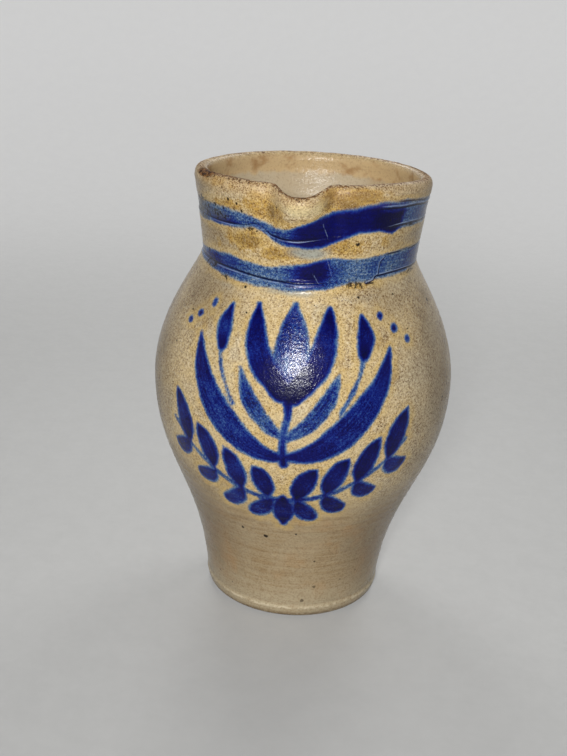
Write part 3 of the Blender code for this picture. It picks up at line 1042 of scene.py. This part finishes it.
class Glaze(Nodes):
    """Nodes of one glaze, with the textures that its layers share."""

    def __init__(self, name):
        super().__init__(name)
        self.layers = {}
        self.height = self.axis("Z")
        self.patch = self.noise(52.0, 3.0, 0.6)
        self.wave = self.noise(140.0, 2.0, 0.5)
        self.peel = self.noise(760.0, 2.0, 0.6)
        self.finer = self.noise(1700.0, 1.0, 0.5)
        self.spots = self.stipple()
        self.speck = self.specks()

    def layer(self, name):
        """One of the layers of numbers that the mesh carries."""
        if name not in self.layers:
            self.layers[name] = self.add("Attribute", {}, attribute_name=name).outputs["Fac"]
        return self.layers[name]

    def stipple(self):
        """Brown dots and pits in the glaze."""
        gap, size, tone = self.cells(840.0)
        dot = self.step(self.less(gap, self.times(size, 0.2)), 0.42, 0.19)
        dot = self.times(dot, self.step(tone, 0.1, 0.9, 0.45, 1.0))
        pits = self.times(self.step(self.peel, 0.48, 0.62), self.step(self.finer, 0.36, 0.58))
        return self.most(dot, self.times(pits, 0.7))

    def specks(self):
        """Scattered iron specks."""
        gap, size, tone = self.cells(105.0)
        edge = self.less(gap, self.step(size, 0.0, 1.0, 0.035, 0.085))
        return self.times(self.step(edge, 0.02, -0.02), self.step(tone, 0.7, 0.74))

    def add_spots(self):
        """The single dark spots, uneven at their edges, added to the scattered specks."""
        shaken = self.shaken(700.0, 1.2 * MM)
        for degrees, level, reach in SPOTS:
            away = self.away(shaken, spot_place(degrees, level))
            self.speck = self.most(self.speck, self.step(away, reach * MM, reach * 0.6 * MM))

    def finish(self, colour, roughness, *relief):
        self.set("Base Color", colour)
        self.set("Roughness", roughness)
        self.set("Specular IOR Level", 0.2)
        skin = (self.times(self.peel, 0.7), self.times(self.wave, 0.8), self.times(self.finer, 0.25))
        self.bump(self.plus(*skin, *relief), 0.42, 0.5 * MM)
        return self.material


def low_colour(n):
    """Lower wall, streaked round by the wheel, paler towards the foot, rubbed pale with a painted highlight
    on the foot's ridge, and with dirt and painted shade at its lowest edge.
    """
    streaks = n.noise(1.0, 4.0, 0.65, where=n.scaled(26.0, 26.0, 560.0))
    tone = n.mix(n.step(streaks, 0.4, 0.66, 0.0, 0.85), LOW_BROWN, LOW_STREAK)
    chips = n.noise(330.0, 3.0, 0.6)
    edge = n.times(n.step(n.height, 0.009, 0.0078), n.step(n.height, 0.006, 0.0072))
    return n.over(
        tone,
        (LOW_RUST, n.step(n.noise(36.0, 3.0, 0.6), 0.52, 0.7), 0.45),
        (LOW_PALE, n.step(n.patch, 0.42, 0.68), 0.45),
        (STIPPLE, n.spots, 0.14),
        (STIPPLE, n.step(n.peel, 0.5, 0.64), 0.2),
        (PALE_FOOT, n.step(n.height, 0.034, 0.006), n.step(n.peel, 0.62, 0.42, 0.35, 0.8)),
        (FOOT_RIDGE_RUB_AND_HIGHLIGHT, edge, n.step(chips, 0.42, 0.58), 0.5),
        (FOOT_DIRT_AND_SHADE, n.step(n.height, 0.0058, 0.0016), n.step(chips, 0.3, 0.6, 0.35, 1.0)),
    )


def clay_colour(n):
    """Salt-glazed grey and tan clay with brown stippling, smoother and browner low down."""
    clay = n.mix(n.step(n.noise(17.0, 3.0, 0.55), 0.32, 0.58), GREY_TAN, WARM_TAN)
    strength = n.times(n.step(n.height, 0.062, 0.112, 0.1, 1.0), n.step(n.patch, 0.3, 0.66, 0.6, 1.0))
    pale = n.most(n.step(n.peel, 0.46, 0.34), n.times(n.step(n.finer, 0.46, 0.34), 0.8))
    clay = n.over(
        clay,
        (BROWN_TAN, n.step(n.patch, 0.45, 0.75), 0.5),
        (STIPPLE, n.spots, strength),
        (PALE_PEEL, pale, strength, 0.68),
    )
    ragged = n.plus(n.height, n.swing(n.patch, 0.03))
    return n.mix(n.step(ragged, 0.1, 0.066), clay, low_colour(n))


def inner_wall(n, clay):
    """Inside paler and smoother, with brown stains under the lip."""
    tone = n.mix(n.step(n.noise(28.0, 3.0), 0.4, 0.66), INNER_PALE, INNER_BROWN)
    stain = n.mix(n.step(n.noise(58.0, 3.0, 0.6), 0.5, 0.64), STAIN_PALE, STAIN_DARK)
    level = n.plus(n.height, n.swing(n.wave, 0.008))
    stained = (stain, n.step(level, 0.251, 0.2545), 0.85)
    tone = n.over(tone, stained, (STIPPLE, n.step(n.peel, 0.52, 0.66), 0.16))
    return n.mix(n.step(n.layer("inside"), 0.6, 0.95), clay, tone)


def veil(n, clay, name, ragged, colour, pits, low, high, share):
    """One layer of patches, ragged at the edges, whose colour keeps some of the stippling."""
    amount = n.step(n.plus(n.layer(name), ragged), low, high)
    return n.over(clay, (n.over(colour, (STIPPLE, n.spots, pits)), amount, share))


def flashed(n, clay):
    """Golden flashing beside the cobalt and over the collar."""
    ochre = n.layer("ochre")
    beside = n.step(n.plus(n.layer("cobalt"), n.swing(n.wave, 9.0)), 6.0, 0.4)
    beside = n.times(beside, n.step(n.patch, 0.36, 0.62, 0.45, 1.0))
    curd = n.noise(250.0, 3.0, 0.65)
    uneven = n.plus(n.times(ochre, 0.8), n.swing(n.wave, 1.2), n.swing(curd, 0.3), n.swing(n.peel, 0.7))
    over = n.times(n.step(uneven, 0.16, 0.6), n.step(ochre, 0.05, 0.35))
    gold = n.most(n.times(beside, 0.54), n.times(over, 0.94))
    grains = n.most(n.step(n.wave, 0.42, 0.68), n.step(n.finer, 0.48, 0.6))
    grains = n.times(grains, n.step(ochre, 0.1, 0.6, 0.0, 0.75))
    warm = n.mix(n.most(n.times(n.step(n.patch, 0.56, 0.74), 0.6), grains), FLASH, ORANGE)
    warm = n.over(warm, (DARK_GOLD, n.step(ochre, 0.7, 1.2), n.step(curd, 0.34, 0.58, 0.4, 1.0)))
    golden = (warm, gold, n.step(n.peel, 0.64, 0.4, 0.5, 1.0))
    return n.over(clay, golden, (GOLD_PITS, over, n.spots, 0.7))


def cobalt_paint(n, ridge):
    """Colour of the cobalt, uneven in depth, and where it covers the clay, feathered at its edges."""
    load = n.layer("load")
    feather = n.noise(1.0, 2.0, 0.6, where=n.scaled(900.0, 900.0, 300.0))
    shake = n.plus(n.swing(n.wave, 2.2), n.swing(feather, 1.3), n.swing(n.finer, 0.9))
    edge = n.plus(n.layer("cobalt"), shake)
    deep = n.step(edge, 0.3, -2.8, 0.36, 1.0)
    brush = n.vector(n.times(n.layer("across"), 0.9), n.times(n.layer("along"), 0.07))
    hairs = n.swing(n.noise(1.0, 3.0, 0.6, where=brush), 0.85)
    watery = n.swing(n.noise(62.0, 3.0, 0.55), 1.0)
    mottle = n.plus(n.swing(n.peel, 1.0), n.swing(n.finer, 0.9))
    thin = n.step(load, 0.94, 0.52, 0.26, 1.0)
    blue = n.ramp(n.plus(n.times(load, deep), n.times(n.plus(hairs, watery, mottle), thin)), COBALT)
    # Over the blue: pits, specks, the painted highlight on ridges, and dark glaze with painted shade in the
    # cut lines
    blue = n.over(
        blue,
        (BLUE_PITS, n.spots, n.step(load, 0.75, 0.45, 0.0, 0.75)),
        (BLUE_SPECK, n.speck, 0.85),
        (RIDGE_HIGHLIGHT_BLUE, ridge, 0.72),
        (CUT_BLUE_AND_SHADE, n.step(n.layer("cut"), 0.25, 0.68, 0.0, 0.93)),
    )
    return blue, n.step(edge, 0.8, -0.8)


def thin_line(n, distance, shown, far, near):
    return n.times(n.step(n.math("ABSOLUTE", distance), far, near), shown)


def worn_lip(n, colour):
    """Brown worn crest and broken stretch of the lip, stippled closely a little way down."""
    rim = n.layer("rim")
    crest = n.layer("crest")
    gap, _, tone = n.cells(980.0)
    chew = n.noise(640.0, 3.0, 0.65)
    worn = n.step(n.plus(chew, n.times(crest, 0.27)), 0.6, 0.7)
    worn = n.times(worn, n.step(crest, 0.03, 0.15), 0.9)
    broken = n.step(n.layer("wear"), 0.2, 0.55)
    colour = n.over(
        colour,
        (RIM_TAN, rim, 0.4),
        (RIM_DOTS, rim, n.step(gap, 0.48, 0.28), n.step(tone, 0.0, 0.7, 0.2, 0.9)),
        (n.mix(n.step(n.finer, 0.4, 0.65), WORN_DARK, WORN_PALE), worn),
        (n.mix(n.step(chew, 0.44, 0.62), BROKEN_DARK, BROKEN_PALE), broken),
    )
    dull = n.plus(n.times(n.most(worn, broken), 0.3), n.times(crest, 0.3), n.times(rim, 0.2))
    return colour, dull


def painted_glaze(name):
    n = Glaze(name)
    n.add_spots()
    clay = inner_wall(n, clay_colour(n))
    # Browner clay from the fire, and painted shade that darkens the sides
    clay = veil(n, clay, "toast", n.swing(n.patch, 0.8), TOAST_AND_SHADE, 0.8, 0.0, 1.0, 0.68)
    clay = flashed(n, clay)
    clay = veil(n, clay, "fume", n.swing(n.wave, 0.5), FUME_GREY, 0.4, 0.15, 0.95, 0.8)
    # Pale cream painted highlight on the spout's nose and beside it
    clay = veil(n, clay, "cream", n.swing(n.wave, 0.8), HIGHLIGHT_CREAM, 0.34, 0.15, 0.85, 0.72)

    # Cut lines hold dark glaze with painted shade, and the ridge beside them gets a painted highlight in
    # places.
    ridge = n.times(n.step(n.layer("ridge"), 0.4, 0.95), n.step(n.noise(110.0, 2.0, 0.6), 0.34, 0.56))
    blue, mask = cobalt_paint(n, ridge)

    # Dark grains burnt into the glaze at the edges of the bands
    grime = n.layer("grime")
    crust = n.plus(n.noise(460.0, 3.0, 0.65), n.times(grime, 0.1))
    burnt = n.times(n.step(grime, 0.12, 0.5), n.step(crust, 0.55, 0.62))

    # Scratches through the glaze, and a crack with a raised lip that carries a painted highlight, and a
    # painted shadow on its other side
    crack = n.layer("crack")
    cracked = n.layer("cracked")
    scratch = thin_line(n, n.layer("scratch"), n.layer("scratched"), 0.34, 0.08)
    crack_lit_lip = thin_line(n, n.less(crack, 0.35), cracked, 0.5, 0.1)
    crack_gap_and_shadow = thin_line(n, n.plus(crack, 0.4), cracked, 0.55, 0.1)
    colour = n.over(
        clay,
        (IRON, n.speck, n.step(n.height, 0.03, 0.06, 0.6, 0.95)),
        (RIDGE_HIGHLIGHT_CLAY, ridge, 0.3),
        (CUT_CLAY_AND_SHADE, n.layer("cut"), 0.6),
        (blue, mask),
        (GRIMY_BLUE, n.step(grime, 0.1, 0.9), mask, 0.6),
        (BURNT, burnt, 0.9),
        (SCRATCHED_BLUE, scratch, n.step(n.peel, 0.4, 0.6, 0.1, 0.5)),
        (CRACK_HIGHLIGHT_BLUE, crack_lit_lip, 0.55),
        (CRACK_DARK_AND_SHADOW_BLUE, crack_gap_and_shadow, 0.9),
    )
    colour, dull = worn_lip(n, colour)
    inside = n.layer("inside")
    gloss = n.less(n.step(n.patch, 0.3, 0.7, 0.2, 0.3), n.times(mask, 0.05))
    gloss = n.less(gloss, n.times(n.step(inside, 0.5, 0.9), 0.05))
    inner_peel = n.times(n.peel, n.step(inside, 0.6, 0.95, 0.0, 0.8))
    relief = (n.times(crack_lit_lip, 0.9), n.times(crack_gap_and_shadow, -0.6), n.times(burnt, 0.5), inner_peel)
    return n.finish(colour, n.plus(gloss, dull), *relief)


def plain_glaze(name):
    n = Glaze(name)
    colour = n.over(clay_colour(n), (IRON, n.speck, 0.85))
    return n.finish(colour, n.step(n.patch, 0.3, 0.7, 0.26, 0.38))


def make_stage():
    """Round pale floor that curves up into a plain backdrop on all sides."""
    flat = 0.9
    curve = 0.7
    top = 1.3
    bend = np.linspace(math.pi / 2, 0.0, 17)
    reach = np.concatenate(((flat + curve,), flat + curve * np.sin(bend), (0.6, 0.3, 0.05)))
    rise = np.concatenate(((top,), curve - curve * np.cos(bend), (0.0, 0.0, 0.0)))
    rings = len(reach)
    turn = np.tile(math.tau * np.arange(STAGE_SIDES) / STAGE_SIDES, rings)
    points = around(np.repeat(reach, STAGE_SIDES), turn, np.repeat(rise, STAGE_SIDES))
    middle = len(points)
    faces = ring_faces(rings, STAGE_SIDES) + fan_faces(middle - STAGE_SIDES, STAGE_SIDES, middle)
    floor = mesh_object("studio_floor", np.vstack((points, (0.0, 0.0, 0.0))), faces)
    n = Nodes("studio_floor")
    n.set("Base Color", n.mix(n.step(n.noise(60.0, 3.0), 0.3, 0.7), FLOOR_DARK, FLOOR_PALE))
    n.set("Roughness", n.step(n.noise(200.0, 2.0), 0.3, 0.7, 0.62, 0.74))
    far = n.add("VectorMath", {0: n.coord}, operation="LENGTH").outputs["Value"]
    rays = n.add("LightPath", {}).outputs
    seen = n.most(rays["Is Camera Ray"], rays["Is Glossy Ray"], rays["Is Transmission Ray"])
    glow = n.times(n.step(far, 0.4, 1.5, 0.16, 0.52), seen, n.step(n.axis("Y"), -0.9, 0.2, 0.6, 1.0))
    n.set("Emission Color", WHITE)
    n.set("Emission Strength", glow)
    floor.data.materials.append(n.material)


# Camera, fitted to the pot's outline in the photograph
CAMERA_PLACE = (0.0, -0.64793, 0.38017)
CAMERA_TURN = math.radians(5.0)
CAMERA_YAW = -0.0178
CAMERA_PITCH = 0.36011
CAMERA_ROLL = 0.05066
FOCAL_PIXELS = 1124.62
PICTURE_HEIGHT = 756.0
SENSOR_HEIGHT = 36.0


def make_camera():
    """Camera at the photograph's viewing angle."""
    place = Matrix.Rotation(CAMERA_TURN, 4, "Z") @ Matrix.Translation(CAMERA_PLACE)
    ahead = Matrix.Rotation(-CAMERA_YAW, 4, "Z") @ Matrix.Rotation(math.pi / 2 - CAMERA_PITCH, 4, "X")
    data = bpy.data.cameras.new("camera")
    data.sensor_fit = "VERTICAL"
    data.sensor_height = SENSOR_HEIGHT
    data.lens = SENSOR_HEIGHT * FOCAL_PIXELS / PICTURE_HEIGHT
    data.clip_start = 0.01
    camera = bpy.data.objects.new("camera", data)
    camera.matrix_world = place @ ahead @ Matrix.Rotation(CAMERA_ROLL, 4, "Z")
    bpy.context.scene.collection.objects.link(camera)
    bpy.context.scene.camera = camera


def area_light(name, place, target_height, size, power, spread_angle):
    """Square lamp that points at the pot's axis."""
    data = bpy.data.lights.new(name, "AREA")
    data.shape = "RECTANGLE"
    data.size = size
    data.size_y = size
    data.energy = power
    data.spread = math.radians(spread_angle)
    lamp = bpy.data.objects.new(name, data)
    lamp.location = place
    towards = Vector((0.0, 0.0, target_height)) - Vector(place)
    lamp.rotation_euler = towards.to_track_quat("-Z", "Y").to_euler()
    bpy.context.scene.collection.objects.link(lamp)


def make_light():
    area_light("key", (0.0, -1.05, 0.56), 0.15, 0.16, 5.1, 120.0)
    area_light("top", (0.0, -0.05, 1.25), 0.12, 0.8, 0.6, 180.0)
    area_light("behind_left", (-0.42, 0.95, 1.05), 0.13, 0.5, 2.6, 120.0)
    area_light("behind_right", (0.42, 0.95, 1.05), 0.13, 0.5, 2.6, 120.0)
    world = bpy.data.worlds.new("studio")
    world.use_nodes = True
    background = world.node_tree.nodes["Background"]
    background.inputs["Color"].default_value = WHITE
    background.inputs["Strength"].default_value = 0.08
    bpy.context.scene.world = world


def main():
    bpy.context.scene.view_settings.view_transform = "Standard"
    garland()
    flower()
    body = make_body()
    handle = make_handle()
    upper = make_root_clay("upper_root_clay", TO_COLLAR)
    lower = make_root_clay("lower_root_clay", TO_BELLY)
    pieces = (
        (body, "thrown_body", "body_glaze", painted_glaze("painted_glaze")),
        (handle, "strap_handle", "handle_glaze", plain_glaze("handle_glaze")),
        (upper, "upper_handle_luting", "upper_luting_glaze", plain_glaze("upper_root_clay_glaze")),
        (lower, "lower_handle_luting", "lower_luting_glaze", plain_glaze("lower_root_clay_glaze")),
    )
    for piece, node, slot, material in pieces:
        piece.data.materials.append(material)
        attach(piece, "root")
        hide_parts(node)
    make_stage()
    make_camera()
    make_light()


main()
